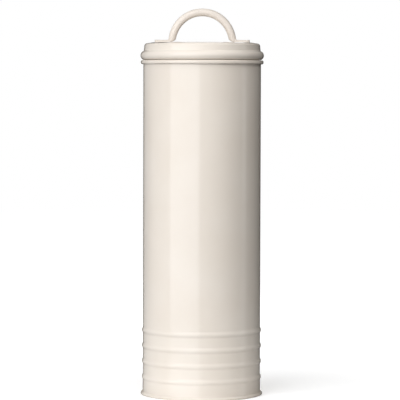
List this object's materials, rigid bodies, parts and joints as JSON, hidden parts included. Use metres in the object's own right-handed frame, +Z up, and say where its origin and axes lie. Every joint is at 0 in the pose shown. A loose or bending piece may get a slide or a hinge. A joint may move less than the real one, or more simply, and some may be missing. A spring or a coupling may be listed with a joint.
{
  "type": "food canister",
  "caption": "Tall round sheet-steel canister for dry food, with rolled ribs near the foot, a curled mouth and a lift-off plug lid with a strap handle.",
  "frame": {"origin": "centre of the base, on the surface the canister stands on", "axes": "+Z up along the canister's axis, +X along the lid's strap handle"},
  "size_m": [0.1049, 0.1048, 0.3286],
  "materials": {
    "cream_coat": "gloss cream enamel coat on sheet steel",
    "seal_silicone": "translucent white silicone rubber, satin"
  },
  "bodies": {
    "canister": {"body_wall": "cream_coat", "base_end": "cream_coat"},
    "seal": {"lid_seal": "seal_silicone"},
    "lid": {"lid_cap": "cream_coat", "lid_handle": "cream_coat"}
  },
  "joints": [
    {"name": "lid_lift", "type": "slide", "parent": "canister", "child": "seal", "axis": [0, 0, 1], "range_m": [0, 0.12]},
    {"name": "lid_turn", "type": "hinge", "parent": "seal", "child": "lid", "pos_m": [0, 0, 0.2768], "axis": [0, 0, 1], "continuous": true}
  ]
}
